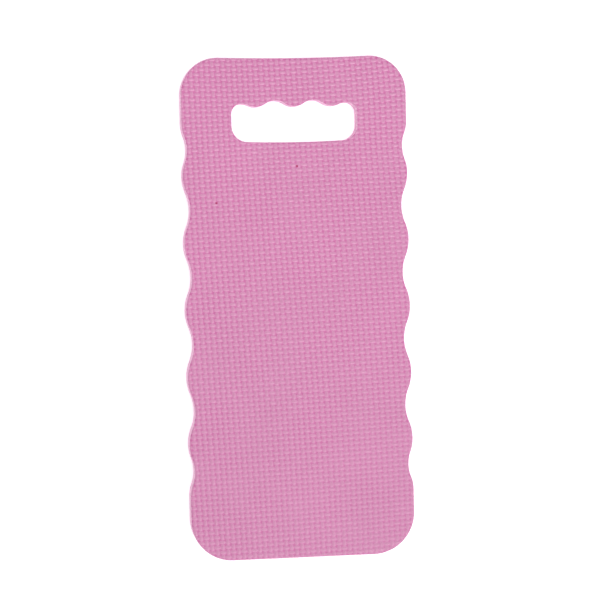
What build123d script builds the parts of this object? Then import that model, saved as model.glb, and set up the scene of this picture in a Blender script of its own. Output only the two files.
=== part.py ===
from build123d import *
import os

# A garden kneeling pad. Two sheets of closed-cell EVA foam, each embossed on its outer face, are bonded
# back to back by a hot-melt film, and all three are die-cut together to one outline with a hand hole.
# Millimetres. X runs across the pad, Y along it towards the hand hole, and Z up from the ground.
# The origin is the middle of the underside. Everything is the same on both sides of the YZ plane.

# The whole pad
LENGTH = 400.0
WIDTH = 180.0
THICKNESS = 15.0
FILM_THICKNESS = 0.2
FACE_EDGE_RADIUS = 1.3  # where the press rolls each embossed face over into the cut wall

# Ends of the outline
HAND_CORNER_RADIUS = 29.0
FAR_CORNER_RADIUS = 33.0
HAND_END_DIP = 1.1  # how far the middle of the hand end lies inside its two corners

# Scalloped long edges, whose crests are flush with the straight shoulders
SCALLOP_PITCH = 53.5
SCALLOP_DEPTH = 5.3
OUTERMOST_CREST = 2  # crests are counted from the one at Y = 0, towards each end
END_VALLEY_Y = 128.3
END_VALLEY_DEPTH = 3.8
SHOULDER_Y = 148.6  # where the scallops end and the straight shoulder starts

# Hand hole, with a plain edge on the palm's side and a wavy grip for the fingers on the other
HOLE_WIDTH = 101.0
PALM_EDGE_Y = 132.3
PALM_EDGE_RISE = 0.8  # from the middle of the palm's edge to its two corners
PALM_CORNER_RADIUS = 13.0
GRIP_CORNER_RADIUS = 8.5
GRIP_BUMP_Y = 161.2  # the three bumps that stand between the fingers
GRIP_BUMP_PITCH = 30.6
INNER_RECESS_Y = 166.0
OUTER_RECESS_Y = 163.8

SHEET_THICKNESS = (THICKNESS - FILM_THICKNESS) / 2
ALONG = (0, 1)
ACROSS = (1, 0)


def half_wave(start, end, heading):
    """S-curve from a crest to the valley beside it: two equal arcs, both ends pointing along heading."""
    start, end = Vector(*start), Vector(*end)
    middle = (start + end) / 2
    return [
        TangentArc(start, middle, tangent=heading),
        TangentArc(end, middle, tangent=Vector(*heading) * -1),
    ]


def waves(turns, heading):
    """Half waves through the crests and valleys in turns."""
    edges = []
    for start, end in zip(turns, turns[1:]):
        edges += half_wave(start, end, heading)
    return edges


def shallow_arc(corner_x, corner_y, corner_radius, rise):
    """Right half of an edge that rises from its middle at X = 0 to a corner's circle, tangent to it.

    The corner's centre is (corner_x, corner_y), and rise is how much higher the near side of its circle is
    than the middle of the edge. The circle lies below the edge, or above it if corner_radius is negative.
    """
    arc_centre_distance = (corner_x**2 + rise**2) / (2 * rise)
    towards_arc_centre = Vector(-corner_x, arc_centre_distance - rise) / arc_centre_distance
    middle = (0, corner_y + corner_radius - rise)
    end = Vector(corner_x, corner_y) + towards_arc_centre * corner_radius
    return TangentArc(middle, end, tangent=ACROSS)


def right_outline():
    """Edges from the middle of the far end, up the right long edge, to the middle of the hand end."""
    side_x = WIDTH / 2
    far_corner_x = side_x - FAR_CORNER_RADIUS
    far_corner_y = FAR_CORNER_RADIUS - LENGTH / 2
    hand_corner_x = side_x - HAND_CORNER_RADIUS
    hand_corner_y = LENGTH / 2 - HAND_CORNER_RADIUS

    inner_turns = []
    for half_pitches in range(-2 * OUTERMOST_CREST, 2 * OUTERMOST_CREST + 1):
        is_valley = half_pitches % 2
        inner_turns.append((side_x - SCALLOP_DEPTH * is_valley, half_pitches * SCALLOP_PITCH / 2))
    end_valley_x = side_x - END_VALLEY_DEPTH
    turns = [
        (side_x, -SHOULDER_Y),
        (end_valley_x, -END_VALLEY_Y),
        *inner_turns,
        (end_valley_x, END_VALLEY_Y),
        (side_x, SHOULDER_Y),
    ]

    hand_end = shallow_arc(hand_corner_x, hand_corner_y, HAND_CORNER_RADIUS, HAND_END_DIP)
    return [
        Line((0, -LENGTH / 2), (far_corner_x, -LENGTH / 2)),
        TangentArc((far_corner_x, -LENGTH / 2), (side_x, far_corner_y), tangent=ACROSS),
        Line((side_x, far_corner_y), (side_x, -SHOULDER_Y)),
        *waves(turns, ALONG),
        Line((side_x, SHOULDER_Y), (side_x, hand_corner_y)),
        TangentArc((side_x, hand_corner_y), hand_end @ 1, tangent=ALONG),
        hand_end,
    ]


def right_hole():
    """Edges from the middle of the palm's edge, round the right end, to the middle bump of the grip."""
    side_x = HOLE_WIDTH / 2
    palm_corner_x = side_x - PALM_CORNER_RADIUS
    palm_corner_y = PALM_EDGE_Y + PALM_EDGE_RISE + PALM_CORNER_RADIUS
    grip_corner_x = side_x - GRIP_CORNER_RADIUS
    grip_corner_y = OUTER_RECESS_Y - GRIP_CORNER_RADIUS
    turns = [
        (grip_corner_x, OUTER_RECESS_Y),
        (GRIP_BUMP_PITCH, GRIP_BUMP_Y),
        (GRIP_BUMP_PITCH / 2, INNER_RECESS_Y),
        (0, GRIP_BUMP_Y),
    ]
    palm_edge = shallow_arc(palm_corner_x, palm_corner_y, -PALM_CORNER_RADIUS, PALM_EDGE_RISE)
    return [
        palm_edge,
        TangentArc((side_x, palm_corner_y), palm_edge @ 1, tangent=Vector(*ALONG) * -1),
        Line((side_x, palm_corner_y), (side_x, grip_corner_y)),
        TangentArc((side_x, grip_corner_y), turns[0], tangent=ALONG),
        *waves(turns, Vector(*ACROSS) * -1),
    ]


def symmetric_face(right_edges):
    """The face inside right_edges and their mirror image."""
    left_edges = [edge.mirror(Plane.YZ) for edge in right_edges]
    return make_face(right_edges + left_edges)


def embossed_sheet(plan):
    """One foam sheet, embossed face up, with its face rounded over into the wall and the hand hole."""
    sheet = extrude(plan, SHEET_THICKNESS, dir=(0, 0, 1))
    face_edges = sheet.edges().group_by(Axis.Z)[-1]
    return fillet(face_edges, FACE_EDGE_RADIUS)


plan = symmetric_face(right_outline()) - symmetric_face(right_hole())
sheet = embossed_sheet(plan)
nodes = {
    "top_sheet": Pos(0, 0, THICKNESS - SHEET_THICKNESS) * sheet,
    "bond_film": Pos(0, 0, SHEET_THICKNESS) * extrude(plan, FILM_THICKNESS, dir=(0, 0, 1)),
    "bottom_sheet": Pos(0, 0, SHEET_THICKNESS) * Rot(0, 180, 0) * sheet,
}

os.makedirs("parts", exist_ok=True)
for name, solid in nodes.items():
    export_step(solid, f"parts/{name}.step")
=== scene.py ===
import math

import bpy
import numpy as np
from mathutils import Matrix, Vector, kdtree
from mathutils.geometry import delaunay_2d_cdt


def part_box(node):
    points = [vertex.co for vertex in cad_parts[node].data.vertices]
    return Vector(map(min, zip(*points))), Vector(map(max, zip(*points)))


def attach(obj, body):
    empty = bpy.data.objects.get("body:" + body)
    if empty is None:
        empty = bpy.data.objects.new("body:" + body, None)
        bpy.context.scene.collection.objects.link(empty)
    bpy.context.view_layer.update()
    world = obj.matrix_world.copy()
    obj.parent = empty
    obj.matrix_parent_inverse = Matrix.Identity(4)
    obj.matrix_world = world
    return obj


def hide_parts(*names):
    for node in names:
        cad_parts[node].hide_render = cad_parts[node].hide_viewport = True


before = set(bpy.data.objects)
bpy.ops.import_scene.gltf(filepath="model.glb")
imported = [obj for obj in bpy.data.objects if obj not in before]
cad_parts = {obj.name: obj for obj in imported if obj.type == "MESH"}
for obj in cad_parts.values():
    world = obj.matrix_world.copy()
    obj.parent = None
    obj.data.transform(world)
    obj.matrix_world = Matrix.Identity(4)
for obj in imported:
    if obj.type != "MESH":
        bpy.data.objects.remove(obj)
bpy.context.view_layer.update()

# A die-cut EVA foam kneeling pad: two sheets with a basket weave pressed into their outer faces, bonded
# back to back. Shapes are worked out in millimetres, in the part's own frame, and become metres in
# foam_mesh(). X runs across the pad, Y along it towards the hand hole, and Z up from the ground.
MM = 0.001

# Outline and hand hole, as in part.py
LENGTH = 400.0
WIDTH = 180.0
HAND_CORNER_RADIUS = 29.0
FAR_CORNER_RADIUS = 33.0
HAND_END_DIP = 1.1
SCALLOP_PITCH = 53.5
SCALLOP_DEPTH = 5.3
OUTERMOST_CREST = 2
END_VALLEY_Y = 128.3
END_VALLEY_DEPTH = 3.8
SHOULDER_Y = 148.6
HOLE_WIDTH = 101.0
PALM_EDGE_Y = 132.3
PALM_EDGE_RISE = 0.8
PALM_CORNER_RADIUS = 13.0
GRIP_CORNER_RADIUS = 8.5
GRIP_BUMP_Y = 161.2
GRIP_BUMP_PITCH = 30.6
INNER_RECESS_Y = 166.0
OUTER_RECESS_Y = 163.8

# Basket weave: cells in columns and rows, each with one raised bar, lying across it or along it by turns
COLUMN_PITCH = 4.405
COLUMN_LEAN = 0.0522  # how far a column leans to the left for each millimetre along the pad
COLUMN_START = 1.024  # the column at the middle of the pad, counted in cells
ROW_PITCH = 4.019
ROW_RISE = 0.0272  # how far a row rises for each millimetre to the right
ROW_START = 0.572
# The hot skin pulled a little unevenly off the press. These are terms for polynomial(), in millimetres.
COLUMN_PULL = {(2, 0): -0.8, (0, 2): 1.7, (1, 2): 2.85, (0, 3): -1.5}
ROW_PULL = {(0, 2): -0.85, (1, 2): 1.2, (2, 1): -1.3}
MOST_PULL = 8.0  # more than they come to anywhere on the pad
PULL_ROUNDS = 12  # passes that points_at() takes to settle
# It moved further towards the hand end, from one Y to the other, because the hand hole weakens it there
HANDLE_START = 120.0
HANDLE_END = 180.0
HANDLE_COLUMN_PULL = {(0, 0): -1.3, (1, 0): -1.15}
HANDLE_ROW_PULL = {(0, 0): -2.2, (2, 0): 4.0}

# Profile of the weave
GROOVE_DEPTH = 0.61  # from a bar's crown to the grooves beside it
PIT_DEPTH = 0.68  # and to the bottom of the pits where four cells meet
PIT_HALF = (1.23, 1.16)  # half width and half height of a pit
ACROSS_HALF = (2.6, 1.26)  # the same of a bar that lies across the pad, where it is down to the groove
ALONG_HALF = (1.48, 2.43)  # and of one that lies along it
ALONG_SHIFT = 0.07  # a bar along the pad tucks up against the one above it
LONG_POWER = 4.8  # how square a bar is from end to end
ROUND_POWER = 2.3  # and from side to side
GROOVE_SOFTNESS = 0.08  # heights that are closer than this blend where they meet
CROWN_SPREAD = 0.02  # the lowest crown lies this far below the highest
PRESS = {(0, 0): 1.0, (1, 0): -0.02, (0, 1): 0.05}  # terms for how hard it was pressed, against that

# Mesh lines in each cell, closer together near the grooves
CELL_LINES = (-0.5, -0.4, -0.27, -0.09, 0.09, 0.27, 0.4)

# Die-cut rim, where the face rolls over into the wall
ARC_STEP = 0.05  # between the points that a curve is first drawn with
RIM_STEP = 0.6  # between the points of the mesh round a cut
RING_DEPTHS = (0.0, 0.3, 0.75, 1.3)  # mesh lines along the cut, by how far inside it they are
GRID_MARGIN = 1.65  # the mesh lines of the weave stop this far inside the cut
OUTER_ROLL = (1.5, 0.6)  # width and drop of the roll along the outline
HOLE_ROLL = (0.6, 0.15)  # and round the hand hole, which is punched cleaner
# The wall from the rim down: its height as a fraction of the rim's, and how far the foam, let go by the
# knife, swells out past the outline there
WALL_HEIGHTS = (0.95, 0.84, 0.62, 0.4, 0.18, 0.04, 0.0)
OUTER_SWELLS = (0.35, 0.55, 0.45, 0.3, 0.12, -0.02, -0.2)
HOLE_SWELLS = (0.2, 0.35, 0.32, 0.24, 0.1, -0.02, -0.2)
NEGLIGIBLE = 1e-6  # points closer together than this are one

# Colours
SKIN = (0.611, 0.243, 0.423)  # on the crowns of the bars
# Painted light: a little paler than SKIN where the bars slope down into the grooves, standing in for
# light that the foam lets through
GROOVE_PAINTED_LIGHT = (0.672, 0.276, 0.482)
# Painted shade: darker and more saturated down in the pits, standing in for their shade and the pink
# light bounced round in them
PIT_PAINTED_SHADE = (0.574, 0.140, 0.350)
CUT = (0.900, 0.550, 0.740)  # on the walls
CUT_BUBBLE_SHADE = (0.774, 0.473, 0.6364)  # and inside the cells that the knife laid open: painted shade in their hollows
FILM_DARK = (0.78, 0.42, 0.58)
FILM_LIGHT = (0.86, 0.52, 0.67)
SPECK = (0.380, 0.008, 0.105)

# Grains of unmixed pigment in the upper face
SPECK_PLACES = ((1.0, 113.4, 14.6), (-63.9, 85.6, 14.6))
SPECK_SIZE = 1.9

# Studio, in metres and watts
FLOOR_HALF = 12.0
FLOOR_GLOW = 0.5
LIGHTS = {  # place, width and power
    "key": ((0.85, -1.45, 3.1), 1.4, 65),
    "fill": ((-0.06, 0.28, 0.55), 0.35, 0.8),
}
SKY_STRENGTH = 0.493
HORIZON_STRENGTH = 1.05
HORIZON_SINES = (0.13, 0.2)  # of the elevations where the bright horizon gives way to the sky
CAMERA_TILT = (2.605, 7.375, 1.32)  # degrees about X, Y and Z
CAMERA_PLACE = (0.00278, 0.00613, 1.6705)  # to its own right, up and back from the origin
LENS = 124.43  # millimetres of focal length, for a picture SENSOR_WIDTH wide
SENSOR_WIDTH = 36


# ---------------------------------------------------------------- outline

def arc(start, end, heading):
    """Points from start towards end on the arc that leaves start along heading, without end itself."""
    start, end, heading = (np.array(v, float) for v in (start, end, heading))
    heading /= np.linalg.norm(heading)
    left = np.array([-heading[1], heading[0]])
    chord = end - start
    along, aside = chord @ heading, chord @ left
    if abs(aside) < NEGLIGIBLE:
        count = max(2, round(np.linalg.norm(chord) / ARC_STEP))
        return start + chord * np.linspace(0, 1, count, endpoint=False)[:, None]
    radius = (chord @ chord) / (2 * aside)
    sweep = 2 * math.atan2(aside, along)
    count = max(2, round(abs(radius * sweep) / ARC_STEP))
    turn = np.linspace(0, sweep, count, endpoint=False)[:, None]
    return start + radius * (np.sin(turn) * heading + (1 - np.cos(turn)) * left)


def waves(turns, heading):
    """S-curves through the crests and valleys in turns, each of two equal arcs."""
    pieces = []
    for start, end in zip(turns, turns[1:]):
        start, end, heading = (np.array(v, float) for v in (start, end, heading))
        middle = (start + end) / 2
        pieces.append(arc(start, middle, heading))
        pieces.append(2 * middle - arc(start, middle, heading)[::-1])
    return pieces


def shallow_arc_end(corner_x, corner_y, corner_radius, rise):
    """Middle and right end of a shallow edge that is tangent to its corner's circle, as in part.py."""
    distance = (corner_x**2 + rise**2) / (2 * rise)
    towards = np.array([-corner_x, distance - rise]) / distance
    return (0, corner_y + corner_radius - rise), np.array([corner_x, corner_y]) + towards * corner_radius


def right_outline():
    """Points from the middle of the far end, up the right long edge, to the middle of the hand end."""
    side_x = WIDTH / 2
    far_corner_x = side_x - FAR_CORNER_RADIUS
    far_corner_y = FAR_CORNER_RADIUS - LENGTH / 2
    hand_corner_y = LENGTH / 2 - HAND_CORNER_RADIUS
    inner_turns = []
    for half_pitches in range(-2 * OUTERMOST_CREST, 2 * OUTERMOST_CREST + 1):
        is_valley = half_pitches % 2
        inner_turns.append((side_x - SCALLOP_DEPTH * is_valley, half_pitches * SCALLOP_PITCH / 2))
    end_valley_x = side_x - END_VALLEY_DEPTH
    turns = [
        (side_x, -SHOULDER_Y),
        (end_valley_x, -END_VALLEY_Y),
        *inner_turns,
        (end_valley_x, END_VALLEY_Y),
        (side_x, SHOULDER_Y),
    ]
    hand_middle, hand_end = shallow_arc_end(
        side_x - HAND_CORNER_RADIUS, hand_corner_y, HAND_CORNER_RADIUS, HAND_END_DIP
    )
    return np.concatenate([
        arc((0, -LENGTH / 2), (far_corner_x, -LENGTH / 2), (1, 0)),
        arc((far_corner_x, -LENGTH / 2), (side_x, far_corner_y), (1, 0)),
        arc((side_x, far_corner_y), (side_x, -SHOULDER_Y), (0, 1)),
        *waves(turns, (0, 1)),
        arc((side_x, SHOULDER_Y), (side_x, hand_corner_y), (0, 1)),
        arc((side_x, hand_corner_y), hand_end, (0, 1)),
        arc(hand_middle, hand_end, (1, 0))[::-1],
    ])


def right_hole():
    """Points from the middle of the palm's edge, round the right end, to the middle bump of the grip."""
    side_x = HOLE_WIDTH / 2
    palm_corner_y = PALM_EDGE_Y + PALM_EDGE_RISE + PALM_CORNER_RADIUS
    grip_corner_x = side_x - GRIP_CORNER_RADIUS
    grip_corner_y = OUTER_RECESS_Y - GRIP_CORNER_RADIUS
    turns = [
        (grip_corner_x, OUTER_RECESS_Y),
        (GRIP_BUMP_PITCH, GRIP_BUMP_Y),
        (GRIP_BUMP_PITCH / 2, INNER_RECESS_Y),
        (0, GRIP_BUMP_Y),
    ]
    palm_middle, palm_end = shallow_arc_end(
        side_x - PALM_CORNER_RADIUS, palm_corner_y, -PALM_CORNER_RADIUS, PALM_EDGE_RISE
    )
    return np.concatenate([
        arc(palm_middle, palm_end, (1, 0)),
        arc((side_x, palm_corner_y), palm_end, (0, -1))[::-1],
        arc((side_x, palm_corner_y), (side_x, grip_corner_y), (0, 1)),
        arc((side_x, grip_corner_y), turns[0], (0, 1)),
        *waves(turns, (-1, 0)),
    ])


def closed_loop(right_points):
    """Evenly spaced points right round a symmetric loop, and the unit normal to the left of each."""
    points = np.concatenate([right_points, (right_points * [-1, 1])[::-1]])
    steps = np.linalg.norm(np.roll(points, -1, axis=0) - points, axis=1)
    points, steps = points[steps > NEGLIGIBLE], steps[steps > NEGLIGIBLE]
    travelled = np.concatenate([[0], np.cumsum(steps)])
    count = round(travelled[-1] / RIM_STEP)
    stops = np.arange(count) * travelled[-1] / count
    closed = np.concatenate([points, points[:1]])
    even = np.stack([np.interp(stops, travelled, closed[:, i]) for i in (0, 1)], axis=1)
    ahead = np.roll(even, -1, axis=0) - np.roll(even, 1, axis=0)
    ahead /= np.linalg.norm(ahead, axis=1)[:, None]
    return even, np.stack([-ahead[:, 1], ahead[:, 0]], axis=1)


# ---------------------------------------------------------------- weave

def polynomial(terms, x, y):
    """Sum of terms: products of powers of X and Y, each with its value at X = 90, Y = 200."""
    x, y = x / (WIDTH / 2), y / (LENGTH / 2)
    return sum(most * x**i * y**j for (i, j), most in terms.items())


def in_handle(y):
    """Nought on the body of the pad, rising smoothly to one in the handle strip."""
    rise = np.clip((y - HANDLE_START) / (HANDLE_END - HANDLE_START), 0, 1)
    return rise**2 * (3 - 2 * rise)


def column_pull(x, y):
    """How far to the left the skin at a point has moved."""
    return polynomial(COLUMN_PULL, x, y) + in_handle(y) * polynomial(HANDLE_COLUMN_PULL, x, y)


def row_pull(x, y):
    """How far towards the hand end the skin at a point has moved."""
    return polynomial(ROW_PULL, x, y) + in_handle(y) * polynomial(HANDLE_ROW_PULL, x, y)


def cells_at(x, y):
    """Column and row of points on the face, counted in cells. Whole numbers are the middles of bars."""
    column = COLUMN_START + (x + COLUMN_LEAN * y + column_pull(x, y)) / COLUMN_PITCH
    row = ROW_START + (ROW_RISE * x - y + row_pull(x, y)) / ROW_PITCH
    return column, row


def points_at(column, row):
    """The points on the face that cells_at() puts at column and row, found by closing in on them."""
    x = (column - COLUMN_START) * COLUMN_PITCH
    y = (ROW_START - row) * ROW_PITCH
    for _ in range(PULL_ROUNDS):
        next_x = (column - COLUMN_START) * COLUMN_PITCH - COLUMN_LEAN * y - column_pull(x, y)
        y = (ROW_START - row) * ROW_PITCH + ROW_RISE * x + row_pull(x, y)
        x = next_x
    return x, y


def smooth_max(a, b, softness):
    """The larger of a and b, blended where they are within softness of each other."""
    blend = np.maximum(softness - abs(a - b), 0) / softness
    return np.maximum(a, b) + blend**2 * softness / 4


def scatter(column, row):
    """A fixed number from 0 to 1 for each bar, with no order to it: the usual hash from a sine."""
    return np.modf(np.abs(np.sin(column * 12.9898 + row * 78.233) * 43758.5453))[0]


def bar(across, along, half):
    """Height of a pillow-shaped bar over its crown, so nought or less."""
    powers = [LONG_POWER if size == max(half) else ROUND_POWER for size in half]
    return -GROOVE_DEPTH * (
        (abs(across) / half[0]) ** powers[0] + (abs(along) / half[1]) ** powers[1]
    )


def weave(x, y):
    """Height of the pressed face over its crowns."""
    column, row = cells_at(x, y)
    from_corner_x = (column - np.floor(column) - 0.5) * COLUMN_PITCH / PIT_HALF[0]
    from_corner_y = (row - np.floor(row) - 0.5) * ROW_PITCH / PIT_HALF[1]
    pit = np.exp(-(from_corner_x**2 + from_corner_y**2) ** 2)
    height = -GROOVE_DEPTH - (PIT_DEPTH - GROOVE_DEPTH) * pit
    for step_column, step_row in ((0, 0), (1, 0), (-1, 0), (0, 1), (0, -1)):
        near_column = np.round(column) + step_column
        near_row = np.round(row) + step_row
        across = (column - near_column) * COLUMN_PITCH
        along = (near_row - row) * ROW_PITCH
        lies_across = (near_column + near_row) % 2 == 0
        bars = np.where(
            lies_across, bar(across, along, ACROSS_HALF), bar(across, along - ALONG_SHIFT, ALONG_HALF)
        )
        bars += CROWN_SPREAD * (scatter(near_column, near_row) - 1)
        height = smooth_max(height, bars, GROOVE_SOFTNESS)
    return height * polynomial(PRESS, x, y)


def roll(inside, width, drop):
    """How much lower the face is at a distance inside the cut that it rolls over towards."""
    return -drop * np.clip(1 - inside / width, 0, 1) ** 2


# ---------------------------------------------------------------- foam sheet

def inside_polygon(points, polygon):
    """True for each of points that is inside the closed polygon."""
    px, py = points[:, 0:1], points[:, 1:2]
    ax, ay = polygon[:, 0], polygon[:, 1]
    bx, by = np.roll(ax, -1), np.roll(ay, -1)
    crosses = (ay > py) != (by > py)
    with np.errstate(divide="ignore", invalid="ignore"):
        crossing_x = ax + (py - ay) * (bx - ax) / (by - ay)
    return (crosses & (px < crossing_x)).sum(axis=1) % 2 == 1


def triangulate(points, edges):
    """Delaunay triangles over points that keep every one of edges."""
    result = delaunay_2d_cdt([Vector(p) for p in points], edges, [], 0, NEGLIGIBLE)
    if len(result[0]) != len(points):
        raise ValueError("the triangulation moved or added points")
    original = [source[0] for source in result[3]]
    return np.array([[original[v] for v in face] for face in result[2]])


def fill_between(plan, outer, hole, others=(), other_edges=()):
    """Triangles over the area inside one closed row of points and outside another.

    outer and hole are the rows' point numbers in plan. The triangles also use the points numbered others,
    and keep other_edges, whose ends are places in others.
    """
    used = list(others)
    edges = list(other_edges)
    for row in (outer, hole):
        first = len(used)
        edges += [(first + i, first + (i + 1) % len(row)) for i in range(len(row))]
        used += list(row)
    used = np.array(used)
    triangles = used[triangulate(plan[used], edges)]
    middles = plan[triangles].mean(axis=1)
    return triangles[inside_polygon(middles, plan[outer]) & ~inside_polygon(middles, plan[hole])]


def mesh_lines(start, reach, pitch):
    """Mesh lines, counted in cells, of the cells within reach of the cell start."""
    cells = np.arange(math.floor(start - reach / pitch), math.ceil(start + reach / pitch) + 1)
    return (cells[:, None] + np.array(CELL_LINES)).ravel()


def distances_inside(points, rims):
    """How far each of points is inside the cut nearest to it, and whether that cut is the hand hole's."""
    rim_points = np.concatenate([rim for rim, _ in rims])
    rim_normals = np.concatenate([normals for _, normals in rims])
    tree = kdtree.KDTree(len(rim_points))
    for i, (x, y) in enumerate(rim_points):
        tree.insert((x, y, 0), i)
    tree.balance()
    nearest = np.array([tree.find((x, y, 0))[1] for x, y in points])
    inside = ((points - rim_points[nearest]) * rim_normals[nearest]).sum(axis=1)
    return inside, nearest >= len(rims[0][0])


class WeaveGrid:
    """Quads whose sides follow the weave, wherever all their corners are clear of the cut."""

    def __init__(self, rims):
        self.columns = mesh_lines(
            COLUMN_START, WIDTH / 2 + COLUMN_LEAN * LENGTH / 2 + MOST_PULL, COLUMN_PITCH
        )
        self.rows = mesh_lines(ROW_START, LENGTH / 2 + ROW_RISE * WIDTH / 2 + MOST_PULL, ROW_PITCH)
        x, y = points_at(*np.meshgrid(self.columns, self.rows, indexing="ij"))
        points = np.stack([x.ravel(), y.ravel()], axis=1)
        inside, near_hole = distances_inside(points, rims)
        clear = (inside > GRID_MARGIN).reshape(x.shape)
        self.is_quad = clear[:-1, :-1] & clear[1:, :-1] & clear[:-1, 1:] & clear[1:, 1:]
        number = np.arange(x.size).reshape(x.shape)
        corners = [number[:-1, :-1], number[:-1, 1:], number[1:, 1:], number[1:, :-1]]
        used, quads = np.unique(np.stack(corners, axis=-1)[self.is_quad], return_inverse=True)
        self.quads = quads.reshape(-1, 4)
        self.points = points[used]
        self.inside = inside[used]
        self.near_hole = near_hole[used]

    def border(self):
        """Numbers of the points on the grid's ragged border, and its edges as pairs of places in them."""
        edges = np.concatenate([self.quads[:, [i, (i + 1) % 4]] for i in range(4)])
        forward = edges[:, 0] * len(self.points) + edges[:, 1]
        backward = edges[:, 1] * len(self.points) + edges[:, 0]
        is_border = ~np.isin(forward, backward)  # no neighbouring quad runs back along it
        numbers, places = np.unique(edges[is_border], return_inverse=True)
        return numbers, [(int(a), int(b)) for a, b in places.reshape(-1, 2)]

    def covers(self, points):
        """True for each of points that is in one of the quads."""
        column, row = cells_at(points[:, 0], points[:, 1])
        at_column = np.clip(np.searchsorted(self.columns, column) - 1, 0, len(self.columns) - 2)
        at_row = np.clip(np.searchsorted(self.rows, row) - 1, 0, len(self.rows) - 2)
        return self.is_quad[at_column, at_row]


TURNED_OVER = [0, 3, 2, 1]  # order of a quad's corners that makes it face the other way


def quads_between(starts, count):
    """Quads between closed rows of count points, numbered from each of starts.

    They face right as the rows run, if each row is below the one before it.
    """
    here = np.arange(count)
    ahead = (here + 1) % count
    return np.concatenate([
        np.stack([above + here, below + here, below + ahead, above + ahead], axis=1)
        for above, below in zip(starts, starts[1:])
    ])


def foam_sheet(thickness):
    """Closed mesh of one sheet, embossed face up and bond face at Z = 0, in millimetres.

    Returns the points, the faces as (indices, is_skin) groups, and how deep each point is in the weave.
    """
    rims = [closed_loop(right_outline()), closed_loop(right_hole()[::-1])]
    grid = WeaveGrid(rims)
    plan = [grid.points]
    inside = [grid.inside]
    near_hole = [grid.near_hole]
    groups = [(grid.quads, True)]
    total = len(grid.points)

    # Rings that run along each cut
    rim_rows = []
    inner_rows = []
    for (rim, normals), is_hole in zip(rims, (False, True)):
        count = len(rim)
        starts = total + count * np.arange(len(RING_DEPTHS))
        plan += [rim + normals * depth for depth in RING_DEPTHS]
        inside.append(np.repeat(RING_DEPTHS, count))
        near_hole.append(np.full(count * len(RING_DEPTHS), is_hole))
        groups.append((quads_between(starts, count)[:, TURNED_OVER], True))
        rim_rows.append(np.arange(starts[0], starts[0] + count))
        inner_rows.append(np.arange(starts[-1], starts[-1] + count))
        total = starts[-1] + count

    # Band between the grid's ragged border and the innermost rings
    plan = np.concatenate(plan)
    band = fill_between(plan, *inner_rows, *grid.border())
    groups.append((band[~grid.covers(plan[band].mean(axis=1))], True))

    # Height of the face
    inside = np.concatenate(inside)
    relief = weave(plan[:, 0], plan[:, 1])
    rolled = np.where(np.concatenate(near_hole), roll(inside, *HOLE_ROLL), roll(inside, *OUTER_ROLL))
    height = thickness + relief + rolled
    points = [np.column_stack([plan, height])]

    # Walls
    foot_rows = []
    for (rim, normals), rim_row, swells in zip(rims, rim_rows, (OUTER_SWELLS, HOLE_SWELLS)):
        count = len(rim)
        for fraction, swell in zip(WALL_HEIGHTS, swells):
            points.append(np.column_stack([rim - normals * swell, height[rim_row] * fraction]))
        starts = [rim_row[0], *(total + count * np.arange(len(WALL_HEIGHTS)))]
        groups.append((quads_between(starts, count), False))
        foot_rows.append(np.arange(starts[-1], starts[-1] + count))
        total = starts[-1] + count
    points = np.concatenate(points)

    # Flat bond face, which looks down
    groups.append((fill_between(points[:, :2], *foot_rows)[:, ::-1], False))
    weave_depth = np.zeros(total)
    weave_depth[:len(plan)] = -relief / PIT_DEPTH
    return points, groups, weave_depth


def foam_mesh(name, points, groups, weave_depth, flipped, bond_z):
    """Mesh of a sheet in metres, its bond face at bond_z. A flipped sheet is turned over, face down."""
    turned = points * [-1, 1, -1] if flipped else points
    placed = (turned + [0, 0, bond_z / MM]) * MM
    mesh = bpy.data.meshes.new(name)
    mesh.vertices.add(len(placed))
    mesh.vertices.foreach_set("co", placed.astype(np.float32).ravel())
    corners = np.concatenate([faces.ravel() for faces, _ in groups])
    sizes = np.concatenate([np.full(len(faces), faces.shape[1]) for faces, _ in groups])
    skin = np.concatenate([np.full(len(faces), is_skin) for faces, is_skin in groups])
    mesh.loops.add(len(corners))
    mesh.loops.foreach_set("vertex_index", corners.astype(np.int32))
    mesh.polygons.add(len(sizes))
    mesh.polygons.foreach_set("loop_start", (np.cumsum(sizes) - sizes).astype(np.int32))
    mesh.polygons.foreach_set("material_index", np.where(skin, 0, 1).astype(np.int32))
    mesh.polygons.foreach_set("use_smooth", np.ones(len(sizes), bool))
    attribute = mesh.attributes.new("weave_depth", "FLOAT", "POINT")
    attribute.data.foreach_set("value", weave_depth.astype(np.float32))
    mesh.update(calc_edges=True)
    if mesh.validate():
        raise ValueError(f"{name} has faces that Blender had to repair")
    return mesh


# ---------------------------------------------------------------- materials

def new_material(name):
    material = bpy.data.materials.new(name)
    material.use_nodes = True
    return material, material.node_tree, material.node_tree.nodes["Principled BSDF"]


def own_space(tree):
    """Where a point is in the object's own space, in metres."""
    return tree.nodes.new("ShaderNodeTexCoord").outputs["Object"]


def noise(tree, scale, detail=2.0, roughness=0.5):
    """Soft lumps, scale of them per metre, with values round a half."""
    texture = tree.nodes.new("ShaderNodeTexNoise")
    texture.inputs["Scale"].default_value = scale
    texture.inputs["Detail"].default_value = detail
    texture.inputs["Roughness"].default_value = roughness
    tree.links.new(own_space(tree), texture.inputs["Vector"])
    return texture.outputs["Fac"]


def cells(tree, scale):
    """Packed cells, scale of them per metre, with values that rise from nought in the middle of each."""
    texture = tree.nodes.new("ShaderNodeTexVoronoi")
    texture.inputs["Scale"].default_value = scale
    tree.links.new(own_space(tree), texture.inputs["Vector"])
    return texture.outputs["Distance"]


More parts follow.
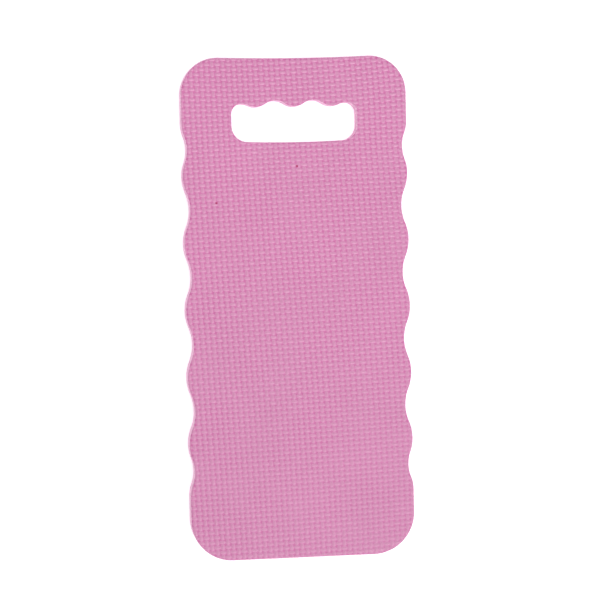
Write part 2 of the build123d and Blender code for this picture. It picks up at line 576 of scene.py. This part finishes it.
def ramp(tree, value, stops):
    """value turned into a colour by stops of (position, colour)."""
    node = tree.nodes.new("ShaderNodeValToRGB")
    elements = node.color_ramp.elements
    while len(elements) < len(stops):
        elements.new(1.0)
    for element, (position, colour) in zip(elements, stops):
        element.position = position
        element.color = (*colour, 1)
    tree.links.new(value, node.inputs["Fac"])
    return node.outputs["Color"]


def shades(tree, value, dark, light):
    """value turned into greys, through dark and light: pairs of a value and its brightness."""
    return ramp(tree, value, [(position, (brightness,) * 3) for position, brightness in (dark, light)])


def multiply(tree, a, b):
    node = tree.nodes.new("ShaderNodeMix")
    node.data_type = "RGBA"
    node.blend_type = "MULTIPLY"
    node.inputs["Factor"].default_value = 1.0
    tree.links.new(a, node.inputs["A"])
    tree.links.new(b, node.inputs["B"])
    return node.outputs["Result"]


def tint(tree, colour, other, amount):
    """colour, changed to the fixed colour other as far as amount says."""
    node = tree.nodes.new("ShaderNodeMix")
    node.data_type = "RGBA"
    node.inputs["B"].default_value = (*other, 1)
    tree.links.new(colour, node.inputs["A"])
    tree.links.new(amount, node.inputs["Factor"])
    return node.outputs["Result"]


def bump(tree, height, depth, below=None):
    """Normal of a surface that height roughens by depth in millimetres, on top of the bumps below."""
    node = tree.nodes.new("ShaderNodeBump")
    node.inputs["Distance"].default_value = depth * MM
    tree.links.new(height, node.inputs["Height"])
    if below is not None:
        tree.links.new(below, node.inputs["Normal"])
    return node.outputs["Normal"]


def near_place(tree, place, size):
    """One at a place in the object's own space, falling raggedly to nought about half of size away."""
    lumps = noise(tree, 1.5 / size, detail=1.0)
    raggedness = size * 0.3
    distance = tree.nodes.new("ShaderNodeVectorMath")
    distance.operation = "DISTANCE"
    distance.inputs[1].default_value = place
    tree.links.new(own_space(tree), distance.inputs[0])
    ragged = tree.nodes.new("ShaderNodeMath")
    ragged.operation = "MULTIPLY_ADD"
    ragged.inputs[1].default_value = raggedness
    tree.links.new(lumps, ragged.inputs[0])
    tree.links.new(distance.outputs["Value"], ragged.inputs[2])
    fall = tree.nodes.new("ShaderNodeMapRange")
    fall.inputs["From Min"].default_value = size * 0.5
    fall.inputs["From Max"].default_value = size * 0.75
    fall.inputs["To Min"].default_value = 1.0
    fall.inputs["To Max"].default_value = 0.0
    tree.links.new(ragged.outputs["Value"], fall.inputs["Value"])
    return fall.outputs["Result"]


def skin_material():
    """Pressed EVA skin: matte, fine grained, with painted light a little paler on the slopes into the
    grooves and painted shade darker and redder down in the pits of the weave.
    """
    material, tree, shader = new_material("foam_skin")
    depth = tree.nodes.new("ShaderNodeAttribute")
    depth.attribute_name = "weave_depth"
    patches = shades(tree, noise(tree, 35), (0.35, 0.95), (0.65, 1.04))
    depth = multiply(tree, depth.outputs["Color"], patches)
    # Painted light and shade by depth in the weave, varied a little in patches: paler on the slopes,
    # darker and redder in the pits
    colour = ramp(tree, depth, [(0.1, SKIN), (0.6, GROOVE_PAINTED_LIGHT), (1.0, PIT_PAINTED_SHADE)])
    clouds = shades(tree, noise(tree, 22, detail=3.0), (0.3, 0.96), (0.7, 1.0))
    flecks = shades(tree, noise(tree, 900), (0.35, 0.94), (0.6, 1.0))
    colour = multiply(tree, multiply(tree, colour, clouds), flecks)
    for place in SPECK_PLACES:
        colour = tint(tree, colour, SPECK, near_place(tree, Vector(place) * MM, SPECK_SIZE * MM))
    tree.links.new(colour, shader.inputs["Base Color"])
    sheen = shades(tree, noise(tree, 500, detail=3.0), (0.3, 0.34), (0.7, 0.46))
    tree.links.new(sheen, shader.inputs["Roughness"])
    shader.inputs["Specular IOR Level"].default_value = 0.55
    grain = bump(tree, noise(tree, 2600, detail=3.0, roughness=0.6), 0.06)
    pores = bump(tree, cells(tree, 1500), 0.04, below=grain)
    tree.links.new(pores, shader.inputs["Normal"])
    return material


def cut_material():
    """Die-cut closed-cell foam: paler than the skin, its fine cells laid open and drawn by the knife,
    with painted shade in the hollows of the opened cells.
    """
    material, tree, shader = new_material("foam_cut")
    bubbles = cells(tree, 2400)
    # Painted shade: darker in the middles of the larger opened cells, which the bump below also dents
    burst_bubbles = shades(tree, cells(tree, 700), (0.12, 0.8), (0.3, 1.0))
    streaks = shades(tree, noise(tree, 90, detail=4.0, roughness=0.6), (0.35, 0.93), (0.65, 1.0))
    # Painted shade, darker towards the middles of the fine opened cells, which the bump below dents
    colour = ramp(tree, bubbles, [(0.1, CUT_BUBBLE_SHADE), (0.55, CUT)])
    colour = multiply(tree, multiply(tree, colour, burst_bubbles), streaks)
    tree.links.new(colour, shader.inputs["Base Color"])
    shader.inputs["Roughness"].default_value = 0.85
    shader.inputs["Specular IOR Level"].default_value = 0.25
    relief = bump(tree, bubbles, 0.15)
    relief = bump(tree, burst_bubbles, 0.2, below=relief)
    relief = bump(tree, noise(tree, 350, detail=4.0, roughness=0.6), 0.5, below=relief)
    tree.links.new(relief, shader.inputs["Normal"])
    return material


def film_material():
    """Hot-melt film: a thin milky line between the two sheets."""
    material, tree, shader = new_material("bond_film")
    colour = ramp(tree, noise(tree, 300), [(0.3, FILM_DARK), (0.7, FILM_LIGHT)])
    tree.links.new(colour, shader.inputs["Base Color"])
    shader.inputs["Roughness"].default_value = 0.42
    tree.links.new(bump(tree, noise(tree, 1500), 0.03), shader.inputs["Normal"])
    return material


def floor_material():
    """White paper, lit a little from within so that it comes out as plain white as its surroundings."""
    material, tree, shader = new_material("floor")
    colour = shades(tree, noise(tree, 3), (0.3, 0.88), (0.7, 0.9))
    tree.links.new(colour, shader.inputs["Base Color"])
    shader.inputs["Roughness"].default_value = 0.9
    shader.inputs["Specular IOR Level"].default_value = 0.1
    shader.inputs["Emission Color"].default_value = (1, 1, 1, 1)
    shader.inputs["Emission Strength"].default_value = FLOOR_GLOW
    return material


# ---------------------------------------------------------------- the pad

def add_sheet(name, node, sheet, flipped, materials):
    """Adds the sheet as a foam piece in place of node, turned face down if it is flipped."""
    low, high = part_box(node)
    mesh = foam_mesh(name, *sheet, flipped, high.z if flipped else low.z)
    for material in materials:
        mesh.materials.append(material)
    piece = bpy.data.objects.new(name, mesh)
    bpy.context.scene.collection.objects.link(piece)
    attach(piece, "root")
    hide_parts(node)


low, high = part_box("top_sheet")
sheet = foam_sheet((high.z - low.z) / MM)
foam_materials = [skin_material(), cut_material()]  # in the order that foam_mesh() numbers them
add_sheet("top_foam", "top_sheet", sheet, False, foam_materials)
add_sheet("bottom_foam", "bottom_sheet", sheet, True, foam_materials)

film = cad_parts["bond_film"]
film_look = film_material()
for slot in film.material_slots:
    slot.material = film_look


# ---------------------------------------------------------------- studio

def add_floor():
    mesh = bpy.data.meshes.new("floor")
    corners = [(FLOOR_HALF * x, FLOOR_HALF * y, 0) for x, y in ((-1, -1), (1, -1), (1, 1), (-1, 1))]
    mesh.from_pydata(corners, [], [(0, 1, 2, 3)])
    mesh.materials.append(floor_material())
    floor = bpy.data.objects.new("floor", mesh)
    bpy.context.scene.collection.objects.link(floor)


def add_light(name, place, width, power):
    """A round soft box that faces the origin."""
    light = bpy.data.lights.new(name, "AREA")
    light.shape = "DISK"
    light.size = width
    light.energy = power
    holder = bpy.data.objects.new(name, light)
    holder.location = place
    holder.rotation_euler = (-Vector(place)).to_track_quat("-Z", "Y").to_euler()
    bpy.context.scene.collection.objects.link(holder)


def add_world():
    """Soft light from all round, brightest low down, where the white walls of the studio would be."""
    world = bpy.data.worlds.new("studio")
    world.use_nodes = True
    tree = world.node_tree
    background = tree.nodes["Background"]
    background.inputs["Color"].default_value = (1, 1, 1, 1)
    direction = tree.nodes.new("ShaderNodeTexCoord")
    upward = tree.nodes.new("ShaderNodeSeparateXYZ")
    tree.links.new(direction.outputs["Generated"], upward.inputs["Vector"])
    horizon, sky = HORIZON_SINES
    strength = tree.nodes.new("ShaderNodeMapRange")
    strength.inputs["From Min"].default_value = horizon
    strength.inputs["From Max"].default_value = sky
    strength.inputs["To Min"].default_value = HORIZON_STRENGTH
    strength.inputs["To Max"].default_value = SKY_STRENGTH
    tree.links.new(upward.outputs["Z"], strength.inputs["Value"])
    tree.links.new(strength.outputs["Result"], background.inputs["Strength"])
    bpy.context.scene.world = world


def add_camera():
    """Camera almost straight above the pad, as the photograph was taken."""
    tilt = Matrix.Identity(3)
    for axis, degrees in zip("XYZ", CAMERA_TILT):
        tilt = tilt @ Matrix.Rotation(math.radians(degrees), 3, axis)
    turn = tilt.transposed()
    data = bpy.data.cameras.new("camera")
    data.sensor_width = SENSOR_WIDTH
    data.lens = LENS
    camera = bpy.data.objects.new("camera", data)
    bpy.context.scene.collection.objects.link(camera)
    camera.matrix_world = Matrix.Translation(turn @ Vector(CAMERA_PLACE)) @ turn.to_4x4()
    bpy.context.scene.camera = camera


add_floor()
for name, (place, width, power) in LIGHTS.items():
    add_light(name, place, width, power)
add_world()
bpy.context.scene.view_settings.view_transform = "Standard"
add_camera()
